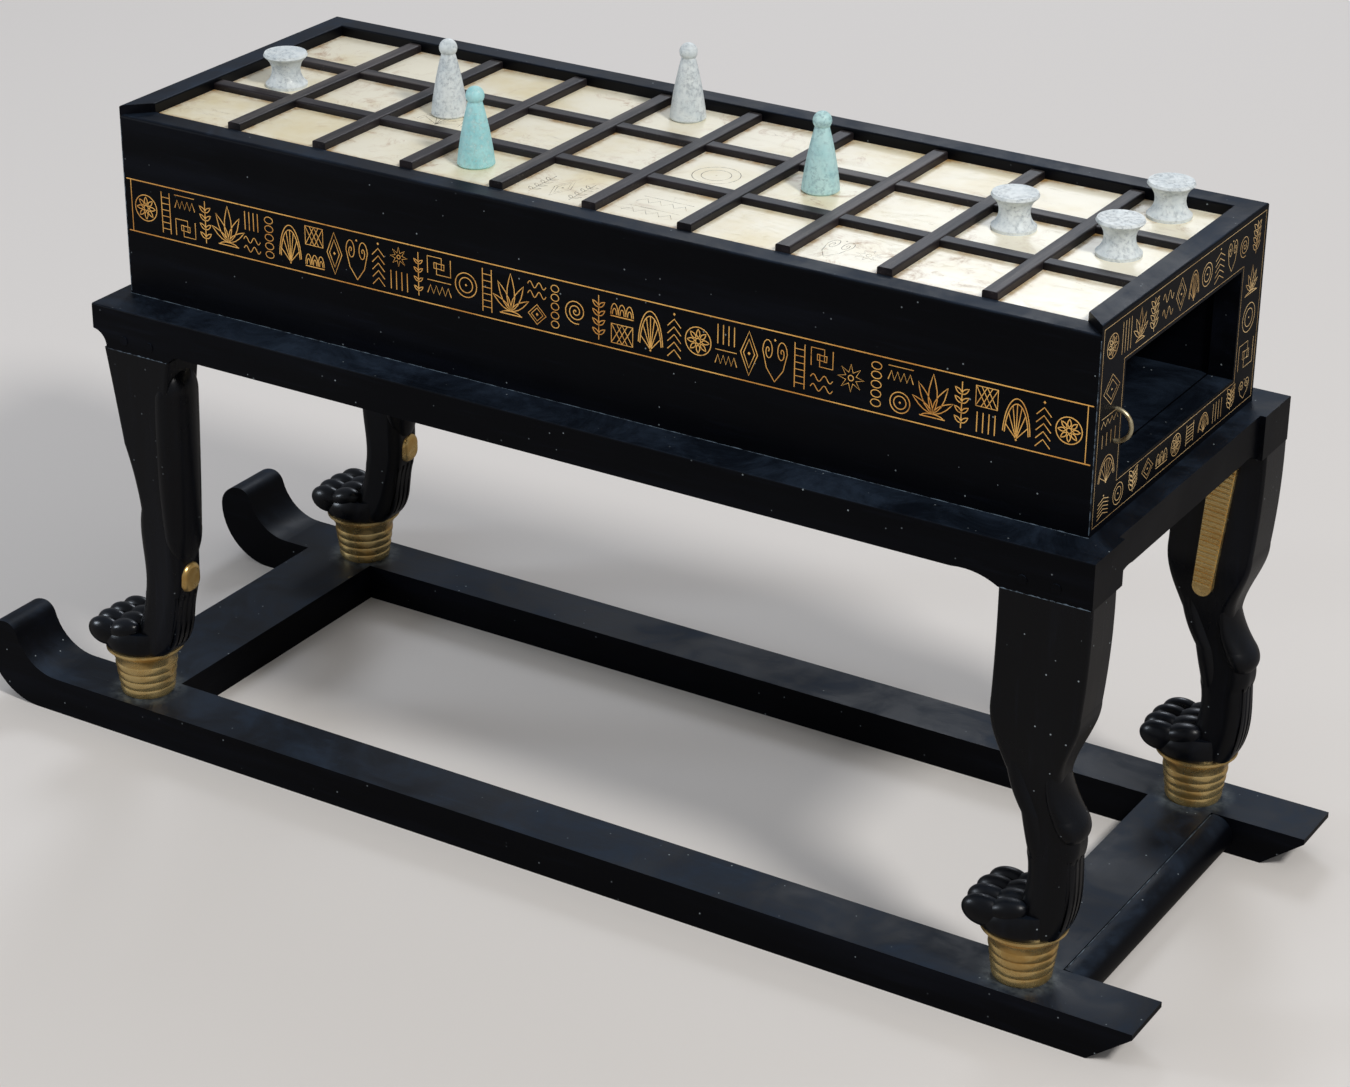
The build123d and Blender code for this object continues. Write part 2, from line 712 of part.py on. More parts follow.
# Long rails with a block at each corner and curved brackets down to the legs
fore_block_end = fore_x + fore_stretches[-1][-1][2]
hind_block_start = hind_x + hind_stretches[-1][-1][1]
for side, leg_y, paw_y, outward in leg_sides:
    near_y = frame_front if outward < 0 else frame_back - rail_width
    inner_y = near_y + (rail_width if outward < 0 else 0)
    with BuildPart() as long_rail:
        with BuildSketch(Plane.XZ.offset(-(near_y + rail_width))):
            with BuildLine():
                Line((frame_left, frame_top), (frame_right, frame_top))
                Line((frame_right, frame_top), (frame_right, leg_top))
                Line((frame_right, leg_top), (hind_block_start, leg_top))
                hind_low = (hind_block_start, leg_top)
                hind_high = (hind_block_start - bracket_length, rail_bottom)
                ThreePointArc(hind_low, cove_between(hind_low, hind_high), hind_high)
                fore_low = (fore_block_end, leg_top)
                fore_high = (fore_block_end + short_bracket, rail_bottom)
                Line(hind_high, fore_high)
                ThreePointArc(fore_high, cove_between(fore_low, fore_high), fore_low)
                cavetto_low = (fore_x - cavetto_setback, leg_top)
                cavetto_high = (frame_left, leg_top + cavetto_height)
                Line(fore_low, cavetto_low)
                ThreePointArc(cavetto_low, cove_between(cavetto_low, cavetto_high), cavetto_high)
                Line(cavetto_high, (frame_left, frame_top))
            make_face()
        extrude(amount=rail_width)
        outer_faces = long_rail.faces().filter_by(Axis.Y).sort_by(Axis.Y)
        outer_face = outer_faces[0] if outward < 0 else outer_faces[-1]
        fillet(outer_face.edges().filter_by(Axis.X).group_by(Axis.Z)[-1], edge_round)
        for leg_x, shift in ((fore_x, fore_tenon_shift), (hind_x, hind_tenon_shift)):
            half_length = leg_tenon_length / 2 + joint_clearance
            half_width = leg_tenon_width / 2 + joint_clearance
            mortise_top = leg_top + leg_tenon_height + joint_clearance
            low = (leg_x + shift - half_length, leg_y - half_width, leg_top)
            high = (leg_x + shift + half_length, leg_y + half_width, mortise_top)
            block(low, high, Mode.SUBTRACT)
            peg_holes(leg_x, leg_y, shift, outward)
        for end_x in (frame_left + end_rail_recess, frame_right - end_rail_recess - end_rail_width):
            tenon_low = frame_top - rail_depth / 2 - rail_tenon_height / 2 - joint_clearance
            tenon_high = frame_top - rail_depth / 2 + rail_tenon_height / 2 + joint_clearance
            reach = rail_tenon_depth + joint_clearance
            mortise_front = inner_y - reach if outward < 0 else inner_y
            low = (end_x + rail_shoulder - joint_clearance, mortise_front, tenon_low)
            high = (end_x + end_rail_width - rail_shoulder + joint_clearance, mortise_front + reach, tenon_high)
            block(low, high, Mode.SUBTRACT)
    long_rail.part.label = f"rail_{side}"
    export_step(long_rail.part, f"parts/rail_{side}.step")

# Pegs, two to a leg
with BuildPart() as leg_pegs:
    for side, leg_y, paw_y, outward in leg_sides:
        for leg_x, shift in ((fore_x, fore_tenon_shift), (hind_x, hind_tenon_shift)):
            face_y = leg_y + outward * (leg_width / 2 + peg_proud)
            for step in (-0.5, 0.5):
                peg_x = leg_x + shift + step * peg_spacing
                peg_z = leg_top + leg_tenon_height / 2
                with BuildSketch(Plane.XZ.offset(-face_y)):
                    with Locations((peg_x, peg_z)):
                        Circle(peg_radius)
                extrude(amount=outward * (peg_depth + peg_proud))
leg_pegs.part.label = "leg_pegs"
export_step(leg_pegs.part, "parts/leg_pegs.step")

# End rails between the long rails, with stub tenons and a bracket at each leg
rail_inner_front = frame_front + rail_width
rail_inner_back = frame_back - rail_width
end_rails = [
    ("rail_left", frame_left + end_rail_recess),
    ("rail_right", frame_right - end_rail_recess - end_rail_width),
]
for rail_name, end_x in end_rails:
    with BuildPart() as end_rail:
        with BuildSketch(Plane.YZ.offset(end_x)):
            with BuildLine():
                back_low = (rail_inner_back, leg_top)
                back_high = (rail_inner_back - end_bracket, rail_bottom)
                front_low = (rail_inner_front, leg_top)
                front_high = (rail_inner_front + end_bracket, rail_bottom)
                Line((rail_inner_front, frame_top), (rail_inner_back, frame_top))
                Line((rail_inner_back, frame_top), back_low)
                ThreePointArc(back_low, cove_between(back_low, back_high), back_high)
                Line(back_high, front_high)
                ThreePointArc(front_high, cove_between(front_low, front_high), front_low)
                Line(front_low, (rail_inner_front, frame_top))
            make_face()
        extrude(amount=end_rail_width)
        tenon_z = frame_top - rail_depth / 2
        tenon_left = end_x + rail_shoulder
        tenon_right = end_x + end_rail_width - rail_shoulder
        tenon_start = rail_inner_front - rail_tenon_depth
        tenon_end = rail_inner_back + rail_tenon_depth
        for near_y, far_y in ((tenon_start, rail_inner_front), (rail_inner_back, tenon_end)):
            tenon_low = (tenon_left, near_y, tenon_z - rail_tenon_height / 2)
            block(tenon_low, (tenon_right, far_y, tenon_z + rail_tenon_height / 2))
    end_rail.part.label = rail_name
    export_step(end_rail.part, f"parts/{rail_name}.step")

# Gilt drums under the paws: swelling bands below a flared rim
for end, leg_x in (("left", fore_x), ("right", hind_x)):
    for side, leg_y, paw_y, outward in leg_sides:
        with BuildPart() as drum:
            with BuildSketch(Plane(origin=(leg_x, paw_y, runner_thick), x_dir=(1, 0, 0), z_dir=(0, -1, 0))):
                with BuildLine():
                    Line((0, 0), (drum_foot_radius, 0))
                    for band in range(drum_bands):
                        low = (drum_foot_radius + band * band_growth, band * band_height)
                        high = (drum_foot_radius + (band + 1) * band_growth, (band + 1) * band_height)
                        swell = ((low[0] + high[0]) / 2 + band_swell, (low[1] + high[1]) / 2)
                        ThreePointArc(low, swell, high)
                    flare_low = (drum_foot_radius + drum_bands * band_growth, drum_bands * band_height)
                    flare_high = (drum_rim_radius, drum_height - drum_rim_edge)
                    flare_x = flare_low[0] + flare_run * (flare_high[0] - flare_low[0])
                    flare_z = flare_low[1] + flare_climb * (flare_high[1] - flare_low[1])
                    ThreePointArc(flare_low, (flare_x, flare_z), flare_high)
                    Line(flare_high, (drum_rim_radius, drum_height))
                    Line((drum_rim_radius, drum_height), (0, drum_height))
                    Line((0, drum_height), (0, 0))
                make_face()
            revolve(axis=Axis((leg_x, paw_y, 0), (0, 0, 1)))
        drum.part.label = f"drum_{side}_{end}"
        export_step(drum.part, f"parts/drum_{side}_{end}.step")

# Sled runners, curled up at the left end and bevelled beneath at the right
bar_sockets = [
    (fore_x - fore_bar_shift, fore_bar_width),
    (hind_x - hind_board_shift, hind_board_width),
]
for side, direction in (("front", -1), ("back", 1)):
    near_y = -track_outer if direction < 0 else track_inner
    with BuildPart() as runner:
        with BuildSketch(Plane.XZ.offset(-(near_y + runner_width))):
            with BuildLine():
                Line((runner_right, runner_thick), (runner_right, runner_thick - heel_face))
                Line((runner_right, runner_thick - heel_face), (runner_right - heel_bevel, 0))
                Line((runner_right - heel_bevel, 0), (runner_left + curl_radius, 0))
                CenterArc((runner_left + curl_radius, curl_radius), curl_radius, 180, 90)
                tip = (runner_left + curl_height - curl_radius, curl_height)
                nose = (tip[0] + curl_nose, tip[1] - curl_nose_drop)
                TangentArc((runner_left, curl_radius), tip, tangent=(0, 1))
                TangentArc(tip, nose, tangent=(1, 0))
                nose_radius = (curl_nose**2 + curl_nose_drop**2) / (2 * curl_nose_drop)
                fall = (1 - curl_nose_drop / nose_radius, -curl_nose / nose_radius)
                inner_radius = (nose[1] - runner_thick) / (1 - fall[0])
                inner_start = nose[0] - inner_radius * fall[1]
                TangentArc(nose, (inner_start, runner_thick), tangent=fall)
                Line((inner_start, runner_thick), (runner_right, runner_thick))
            make_face()
        extrude(amount=runner_width)
        inner_face = track_inner * direction
        for socket_x, socket_width in bar_sockets:
            reach = bar_tenon_depth + joint_clearance
            socket_front = inner_face if direction > 0 else inner_face - reach
            low_z = (runner_thick - bar_tenon_height) / 2 - joint_clearance
            high_z = (runner_thick + bar_tenon_height) / 2 + joint_clearance
            low = (socket_x + bar_shoulder - joint_clearance, socket_front, low_z)
            high = (socket_x + socket_width - bar_shoulder + joint_clearance, socket_front + reach, high_z)
            block(low, high, Mode.SUBTRACT)
    runner.part.label = f"runner_{side}"
    export_step(runner.part, f"parts/runner_{side}.step")

# Flat bars across the sled, one under each pair of legs
for bar_name, (socket_x, bar_width) in zip(("cross_bar_left", "cross_board_right"), bar_sockets):
    with BuildPart() as cross_bar:
        block((socket_x, -track_inner, 0), (socket_x + bar_width, track_inner, runner_thick))
        tenon_z = runner_thick / 2
        tenon_reach = track_inner + bar_tenon_depth
        tenon_low = (socket_x + bar_shoulder, -tenon_reach, tenon_z - bar_tenon_height / 2)
        tenon_right = socket_x + bar_width - bar_shoulder
        block(tenon_low, (tenon_right, tenon_reach, tenon_z + bar_tenon_height / 2))
    cross_bar.part.label = bar_name
    export_step(cross_bar.part, f"parts/{bar_name}.step")

# Rounded moulding along the outer edge of the right cross board
with BuildPart() as cross_moulding:
    seam_x = bar_sockets[1][0] + hind_board_width
    bar_half = runner_thick / 2
    nose_x = seam_x + round_bar_depth - bar_half
    with BuildSketch(Plane.XZ.offset(-(track_inner - seam_gap))):
        with BuildLine():
            Line((seam_x, 0), (nose_x, 0))
            ThreePointArc((nose_x, 0), (nose_x + bar_half, bar_half), (nose_x, runner_thick))
            Line((nose_x, runner_thick), (seam_x + seam_chamfer, runner_thick))
            Line((seam_x + seam_chamfer, runner_thick), (seam_x, runner_thick - seam_chamfer))
            Line((seam_x, runner_thick - seam_chamfer), (seam_x, 0))
        make_face()
    extrude(amount=2 * (track_inner - seam_gap))
cross_moulding.part.label = "cross_moulding_right"
export_step(cross_moulding.part, "parts/cross_moulding_right.step")

# Playing pieces stand on the squares: (name, column, row, shift along X, shift along Y)
cones = [
    ("cone_white_left", 2, 1, -2.4, 1.5),
    ("cone_turquoise", 3, 0, -1.0, 1.5),
    ("cone_white_back", 4, 2, -3.0, 6.0),
    ("cone_pale_turquoise", 6, 1, 0.0, 4.5),
]
reels = [
    ("reel_left", 0, 1, 4.0, -4.7),
    ("reel_middle", 8, 1, -4.0, 8.0),
    ("reel_right_middle", 9, 1, -1.5, 4.0),
    ("reel_right_back", 9, 2, -2.5, 7.0),
]
for piece_name, column, row, shift_x, shift_y in cones:
    place_x = column_x(column) + shift_x
    place_y = row_y(row) + shift_y
    with BuildPart() as cone:
        with BuildSketch(Plane(origin=(place_x, place_y, square_top), x_dir=(1, 0, 0), z_dir=(0, -1, 0))):
            with BuildLine():
                knob_center = cone_height - cone_knob_radius
                neck_height = knob_center - (cone_knob_radius**2 - cone_neck_radius**2) ** 0.5
                foot_start = (cone_base_radius - cone_foot_bevel, 0)
                foot_end = (cone_base_radius, cone_foot_bevel)
                shoulder = (cone_neck_radius + cone_collar_growth, neck_height - cone_collar_height)
                flank = (cone_base_radius / 2 + cone_flank_swell, shoulder[1] / 2)
                Line((0, 0), foot_start)
                Line(foot_start, foot_end)
                ThreePointArc(foot_end, flank, shoulder)
                Line(shoulder, (cone_neck_radius, neck_height))
                knob_side = (cone_knob_radius, knob_center)
                ThreePointArc((cone_neck_radius, neck_height), knob_side, (0, cone_height))
                Line((0, cone_height), (0, 0))
            make_face()
        revolve(axis=Axis((place_x, place_y, 0), (0, 0, 1)))
    cone.part.label = piece_name
    export_step(cone.part, f"parts/{piece_name}.step")

for piece_name, column, row, shift_x, shift_y in reels:
    place_x = column_x(column) + shift_x
    place_y = row_y(row) + shift_y
    with BuildPart() as reel:
        with BuildSketch(Plane(origin=(place_x, place_y, square_top), x_dir=(1, 0, 0), z_dir=(0, -1, 0))):
            with BuildLine():
                Line((0, 0), (reel_base_radius, 0))
                waist_low = (reel_base_radius, reel_foot_lip)
                waist = (reel_waist_radius, reel_height * reel_waist_share)
                waist_high = (reel_rim_radius - reel_rim_bevel, reel_height - reel_rim_lip)
                rim_edge = (reel_rim_radius, reel_height - reel_rim_edge)
                rim_inner = (reel_rim_radius - reel_rim_bevel, reel_height)
                Line((reel_base_radius, 0), waist_low)
                ThreePointArc(waist_low, waist, waist_high)
                Line(waist_high, rim_edge)
                Line(rim_edge, rim_inner)
                Line(rim_inner, (0, reel_height))
                Line((0, reel_height), (0, 0))
            make_face()
        revolve(axis=Axis((place_x, place_y, 0), (0, 0, 1)))
    reel.part.label = piece_name
    export_step(reel.part, f"parts/{piece_name}.step")
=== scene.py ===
import json
import math
import bmesh
import bpy
from mathutils import Matrix, Vector

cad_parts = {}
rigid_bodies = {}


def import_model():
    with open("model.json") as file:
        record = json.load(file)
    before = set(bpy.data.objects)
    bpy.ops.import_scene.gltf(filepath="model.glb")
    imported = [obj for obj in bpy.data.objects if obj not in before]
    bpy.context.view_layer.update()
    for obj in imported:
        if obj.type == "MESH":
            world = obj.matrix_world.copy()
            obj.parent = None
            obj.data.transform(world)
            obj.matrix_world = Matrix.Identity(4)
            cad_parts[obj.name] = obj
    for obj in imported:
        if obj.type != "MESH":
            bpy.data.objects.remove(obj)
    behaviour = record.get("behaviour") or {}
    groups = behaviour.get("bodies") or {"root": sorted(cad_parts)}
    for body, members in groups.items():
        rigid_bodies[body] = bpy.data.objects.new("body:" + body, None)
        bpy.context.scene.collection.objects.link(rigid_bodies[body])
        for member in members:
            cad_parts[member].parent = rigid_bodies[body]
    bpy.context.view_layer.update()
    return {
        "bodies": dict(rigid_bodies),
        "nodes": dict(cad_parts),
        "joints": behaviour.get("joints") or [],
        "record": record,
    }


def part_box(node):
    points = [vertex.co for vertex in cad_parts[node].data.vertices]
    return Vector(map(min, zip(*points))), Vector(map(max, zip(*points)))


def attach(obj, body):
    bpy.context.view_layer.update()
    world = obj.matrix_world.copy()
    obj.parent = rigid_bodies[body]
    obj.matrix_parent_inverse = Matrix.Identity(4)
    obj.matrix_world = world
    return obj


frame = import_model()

nodes = frame["nodes"]
mm = 0.001

# Camera: the angle, distance and lens of the photograph
cameraSetup = {"azimuth": 31.476, "elevation": 25.822, "roll": 0.459, "distance": 1468.2 * mm,
               "target": (20.5 * mm, 1.5 * mm, 116.1 * mm), "lens": 90.28, "sensor": 36.0, "clipEnd": 20}


def buildCamera(setup):
    azimuth, elevation, roll = (math.radians(setup[k]) for k in ("azimuth", "elevation", "roll"))
    level = math.cos(elevation)
    back = Vector((math.sin(azimuth) * level, -math.cos(azimuth) * level, math.sin(elevation)))
    right = Vector((math.cos(azimuth), math.sin(azimuth), 0))
    up = back.cross(right)
    turnedRight = right * math.cos(roll) + up * math.sin(roll)
    turnedUp = up * math.cos(roll) - right * math.sin(roll)
    data = bpy.data.cameras.new("camera")
    data.lens = setup["lens"]
    data.sensor_width = setup["sensor"]
    data.clip_end = setup["clipEnd"]
    camera = bpy.data.objects.new("camera", data)
    place = Vector(setup["target"]) + back * setup["distance"]
    camera.matrix_world = Matrix((
        (turnedRight.x, turnedUp.x, back.x, place.x),
        (turnedRight.y, turnedUp.y, back.y, place.y),
        (turnedRight.z, turnedUp.z, back.z, place.z),
        (0, 0, 0, 1)))
    bpy.context.collection.objects.link(camera)
    bpy.context.scene.camera = camera


buildCamera(cameraSetup)
print("camera placed")


# Materials: a Field is one socket's value over a surface, and plain arithmetic on it adds Math nodes
class Field:
    def __init__(self, tree, socket):
        self.tree = tree
        self.socket = socket

    def node(self, kind, sockets=None, output=0, **settings):
        made = self.tree.nodes.new(kind)
        for name, value in settings.items():
            setattr(made, name, value)
        for name, value in (sockets or {}).items():
            if isinstance(value, Field):
                self.tree.links.new(value.socket, made.inputs[name])
            else:
                made.inputs[name].default_value = value
        return Field(self.tree, made.outputs[output])

    def math(self, operation, *values):
        return self.node("ShaderNodeMath", dict(enumerate(values)), operation=operation)

    def __add__(self, other):
        return self.math("ADD", self, other)

    def __sub__(self, other):
        return self.math("SUBTRACT", self, other)

    def __mul__(self, other):
        return self.math("MULTIPLY", self, other)

    def __rsub__(self, other):
        return self.math("SUBTRACT", other, self)

    __radd__ = __add__
    __rmul__ = __mul__

    def step(self, low, high):
        return self.node("ShaderNodeMapRange", {"Value": self, "From Min": low, "From Max": high},
                         interpolation_type="SMOOTHSTEP")


def tone(red, green, blue):
    # a screen colour from 0 to 255 as a linear colour
    shares = [channel / 255 for channel in (red, green, blue)]
    return tuple(((share + 0.055) / 1.055) ** 2.4 if share > 0.04 else share / 12.92 for share in shares)


def newMaterial(name, roughness=0.5, metallic=0.0, coat=0.0, specular=0.5):
    material = bpy.data.materials.new(name)
    material.use_nodes = True
    tree = material.node_tree
    shader = tree.nodes["Principled BSDF"]
    shader.inputs["Roughness"].default_value = roughness
    shader.inputs["Metallic"].default_value = metallic
    shader.inputs["Coat Weight"].default_value = coat
    shader.inputs["Specular IOR Level"].default_value = specular
    place = Field(tree, None).node("ShaderNodeTexCoord", output="Object")
    return material, shader, place


def feed(shader, socketName, value):
    value.tree.links.new(value.socket, shader.inputs[socketName])


def blendColors(amount, low, high):
    # a Mix node takes its two colours at sockets 6 and 7 and gives the mixed one at output 2
    colors = {socket: end if isinstance(end, Field) else (*end, 1) for socket, end in ((6, low), (7, high))}
    return amount.node("ShaderNodeMix", {"Factor": amount, **colors}, output=2, data_type="RGBA")


def noise(place, scale, detail=4.0, roughness=0.55, stretch=None, distortion=0.0):
    if stretch:
        place = place.node("ShaderNodeMapping", {"Vector": place, "Scale": stretch})
    return place.node("ShaderNodeTexNoise", {"Vector": place, "Scale": scale, "Detail": detail,
                                             "Roughness": roughness, "Distortion": distortion})


def specks(place, scale, size, share):
    # small dots scattered over the surface, in only a share of the cells
    distance = place.node("ShaderNodeTexVoronoi", {"Vector": place, "Scale": scale})
    cellColor = place.node("ShaderNodeTexVoronoi", {"Vector": place, "Scale": scale}, output="Color")
    chosen = cellColor.node("ShaderNodeSeparateColor", {"Color": cellColor}).step(1 - share, 1 - share + 0.02)
    return (1 - distance.step(size * 0.6, size)) * chosen


def upward(place, low, high):
    # how far a surface faces up, where dust settles; on the black wood it also places a painted sheen
    normal = place.node("ShaderNodeNewGeometry", output="Normal")
    return normal.node("ShaderNodeSeparateXYZ", {"Vector": normal}, output="Z").step(low, high)


def bumpInto(shader, height, distance, strength):
    bump = height.node("ShaderNodeBump", {"Height": height, "Distance": distance, "Strength": strength})
    feed(shader, "Normal", bump)


# Where the grid of squares lies, in mm, so that stains can follow its edges
gridPlan = {"columns": 10, "rows": 3, "strip": 6.9}
gridLow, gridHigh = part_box("squares_front_row")[0] / mm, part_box("squares_back_row")[1] / mm
squareGrid = {"left": gridLow.x - gridPlan["strip"] / 2, "front": gridLow.y - gridPlan["strip"] / 2,
              "pitchX": (gridHigh.x - gridLow.x + gridPlan["strip"]) / gridPlan["columns"],
              "pitchY": (gridHigh.y - gridLow.y + gridPlan["strip"]) / gridPlan["rows"]}


def nearEdge(place, axis, start, pitch, low, high):
    # 0 in the middle of a repeated square and 1 at its edges
    along = place.node("ShaderNodeSeparateXYZ", {"Vector": place}, output=axis) * (1 / mm / pitch) - start / pitch
    fromMiddle = along.math("FRACT", along) - 0.5
    return fromMiddle.math("ABSOLUTE", fromMiddle).step(low, high)


# In each look a scale says how fine a pattern is, and relief how deep its bumps are in metres
drumLook = {"drums": ("drum_front_left", "drum_front_right"), "near": 0.0125, "far": 0.02, "clumpScale": 140}


def drumDust(place, look):
    # dust gathered on the sled round the foot of each drum, the same in front and behind
    x, y, z = (place.node("ShaderNodeSeparateXYZ", {"Vector": place}, output=axis) for axis in "XYZ")
    folded = x.node("ShaderNodeCombineXYZ", {"X": x, "Y": y.math("ABSOLUTE", y), "Z": z})
    gathered = []
    for name in look["drums"]:
        low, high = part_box(name)
        foot = ((low.x + high.x) / 2, -(low.y + high.y) / 2, low.z)
        apart = folded.node("ShaderNodeVectorMath", {0: folded, 1: foot}, output="Value", operation="DISTANCE")
        gathered.append(1 - apart.step(look["near"], look["far"]))
    clumps = noise(place, look["clumpScale"], 6, 0.7).step(0.32, 0.7)
    return (gathered[0] + gathered[1]) * clumps * upward(place, 0.8, 0.95)


# the black wood's dust colour is part settled dust and part a painted sheen on faces that turn upward
woodLook = {"deep": tone(4, 5, 9), "streak": tone(13, 17, 27), "dust": tone(46, 60, 78),
            "speck": tone(150, 160, 165), "ring": tone(96, 104, 108), "grainScale": 55, "poreScale": 330,
            "broadScale": 14, "patchScale": 26, "scuffScale": 120, "filmScale": 9, "speckScale": 300,
            "reliefScale": 420, "relief": 0.00014}


def blackWood(name, grain, dustAndSheenAmount=0.95, shine=0.12, roughness=0.3):
    look = woodLook
    material, shader, place = newMaterial(name, specular=shine)
    fine = noise(place, look["grainScale"], 5, 0.6, grain)
    pores = noise(place, look["poreScale"], 3, 0.6, grain).step(0.55, 0.75)
    broad = noise(place, look["broadScale"], 3)
    color = blendColors(fine.step(0.45, 0.8) * 0.7 + pores * 0.3, look["deep"], look["streak"])
    patches = noise(place, look["patchScale"], 8, 0.72, distortion=0.6).step(0.36, 0.78)
    scuffs = noise(place, look["scuffScale"], 6, 0.75, grain).step(0.55, 0.8)
    # faces turned upward get the pale bluish dust colour: part real dust, part a painted sheen on the tops
    dust = upward(place, 0.5, 0.95) * (patches * 0.62 + scuffs * 0.3 + 0.08) * dustAndSheenAmount
    film = noise(place, look["filmScale"], 6, 0.7, grain).step(0.5, 0.8) * scuffs * 0.5
    color = blendColors(dust + film, color, look["dust"])
    color = blendColors(drumDust(place, drumLook) * 0.65, color, look["ring"])
    dots = specks(place, look["speckScale"], 0.13, 0.12) * (broad.step(0.4, 0.6) * 0.6 + 0.2)
    color = blendColors(dots, color, look["speck"])
    feed(shader, "Base Color", color)
    feed(shader, "Roughness", roughness + fine * 0.12 + dust * 0.5 + broad.step(0.4, 0.7) * 0.1)
    surface = fine * 0.6 + pores * 0.2 + noise(place, look["reliefScale"], 3) * 0.2
    bumpInto(shader, surface, look["relief"], 0.6)
    return material


stripLook = {"deep": tone(14, 11, 15), "pale": tone(54, 47, 50), "dust": tone(140, 132, 126), "grainScale": 60,
             "gritScale": 900, "patchScale": 55, "filmScale": 45, "relief": 0.00022}


def stripWood(name, grain):
    look = stripLook
    material, shader, place = newMaterial(name, specular=0.3)
    fine = noise(place, look["grainScale"], 6, 0.65, grain)
    color = blendColors(fine.step(0.4, 0.8), look["deep"], look["pale"])
    patches = noise(place, look["patchScale"], 5, 0.7).step(0.42, 0.72)
    grit = noise(place, look["gritScale"], 4, 0.8).step(0.56, 0.76) * patches
    film = upward(place, 0.5, 0.95) * noise(place, look["filmScale"], 7, 0.75, grain).step(0.42, 0.7) * 0.34
    color = blendColors(grit * 0.6 + film, color, look["dust"])
    feed(shader, "Base Color", color)
    bumpInto(shader, fine * 0.5 + grit * 0.5, look["relief"], 0.7)
    return material


ivoryLook = {"pale": tone(243, 238, 218), "warm": tone(229, 216, 176), "stain": tone(158, 112, 66),
             "crack": tone(120, 92, 60), "edge": tone(176, 138, 84), "broadScale": 22, "stainScale": 60,
             "patchScale": 15, "raggedScale": 120, "crackScale": 34, "crackStretch": (0.35, 1.6, 1.0),
             "gapScale": 26, "relief": 0.00015}


def ivory(name, grid=None):
    look = ivoryLook
    material, shader, place = newMaterial(name, roughness=0.34)
    broad = noise(place, look["broadScale"], 4, 0.6)
    color = blendColors(broad.step(0.4, 0.75), look["pale"], look["warm"])
    blotches = noise(place, look["stainScale"], 8, 0.74, distortion=1.4).step(0.5, 0.72)
    stains = blotches * noise(place, look["patchScale"], 3).step(0.36, 0.6)
    color = blendColors(stains * 0.8, color, look["stain"])
    if grid:
        edges = nearEdge(place, "X", grid["left"], grid["pitchX"], 0.33, 0.425)
        edges = edges + nearEdge(place, "Y", grid["front"], grid["pitchY"], 0.32, 0.425)
        gaps = noise(place, look["gapScale"], 3).step(0.3, 0.52)
        ragged = noise(place, look["raggedScale"], 7, 0.75).step(0.36, 0.62) * gaps
        color = blendColors(edges * ragged * 0.85, color, look["edge"])
    hairlines = noise(place, look["crackScale"], 6, 0.6, look["crackStretch"], 2.0) - 0.5
    cracks = 1 - hairlines.math("ABSOLUTE", hairlines).step(0.0, 0.006)
    broken = noise(place, look["gapScale"], 2).step(0.5, 0.7)
    color = blendColors(cracks * broken * 0.45, color, look["crack"])
    feed(shader, "Base Color", color)
    feed(shader, "Roughness", 0.3 + stains * 0.3)
    bumpInto(shader, broad * 0.6 - cracks * 0.4, look["relief"], 0.5)
    return material


goldLook = {"bright": tone(255, 224, 156), "deep": tone(232, 184, 104), "worn": tone(104, 66, 34),
            "broadScale": 70, "wearScale": 230, "patchScale": 50, "reliefScale": 520, "relief": 0.0002}


def gilding(name):
    look = goldLook
    material, shader, place = newMaterial(name, metallic=0.9)
    broad = noise(place, look["broadScale"], 6, 0.65)
    color = blendColors(broad.step(0.38, 0.72), look["bright"], look["deep"])
    patches = noise(place, look["patchScale"], 3).step(0.35, 0.7)
    wear = noise(place, look["wearScale"], 7, 0.78).step(0.64, 0.76) * patches
    color = blendColors(wear * 0.4, color, look["worn"])
    feed(shader, "Base Color", color)
    feed(shader, "Roughness", 0.2 + broad * 0.14 + wear * 0.35)
    bumpInto(shader, broad * 0.5 + noise(place, look["reliefScale"], 4, 0.7) * 0.5, look["relief"], 0.7)
    return material


def goldLine(name, bright, deep, gap=0.6):
    # incised lines filled with pigment, rubbed thin in places
    material, shader, place = newMaterial(name, specular=0.3)
    rubbed = noise(place, 420, 6, 0.75).step(0.54, 0.7)
    color = blendColors(noise(place, 60, 3).step(0.35, 0.7), bright, deep)
    feed(shader, "Base Color", blendColors(rubbed * gap, color, woodLook["streak"]))
    return material


def inkLine(name, dark, faded):
    material, shader, place = newMaterial(name, roughness=0.6)
    feed(shader, "Base Color", blendColors(noise(place, 260, 6, 0.75).step(0.45, 0.62), dark, faded))
    return material


def plainMetal(name, bright, dull):
    material, shader, place = newMaterial(name, metallic=0.9)
    patches = noise(place, 300, 5, 0.7)
    feed(shader, "Base Color", blendColors(patches.step(0.4, 0.7), bright, dull))
    feed(shader, "Roughness", 0.3 + patches * 0.2)
    return material


faienceLook = {"cloudScale": 110, "fleckScale": 620, "patchScale": 80, "relief": 0.00035}


def faience(name, body, shade, fleck, fleckShare):
    look = faienceLook
    material, shader, place = newMaterial(name, coat=0.05)
    clouds = noise(place, look["cloudScale"], 6, 0.72)
    color = blendColors(clouds.step(0.38, 0.72), body, shade)
    patches = noise(place, look["patchScale"], 4, 0.7).step(0.32, 0.6) * 0.8 + 0.2
    flecks = noise(place, look["fleckScale"], 6, 0.85).step(0.49, 0.62) * patches
    color = blendColors(flecks * fleckShare, color, fleck)
    feed(shader, "Base Color", color)
    feed(shader, "Roughness", 0.5 + flecks * 0.25)
    bumpInto(shader, clouds * 0.5 - flecks * 0.5, look["relief"], 0.7)
    return material


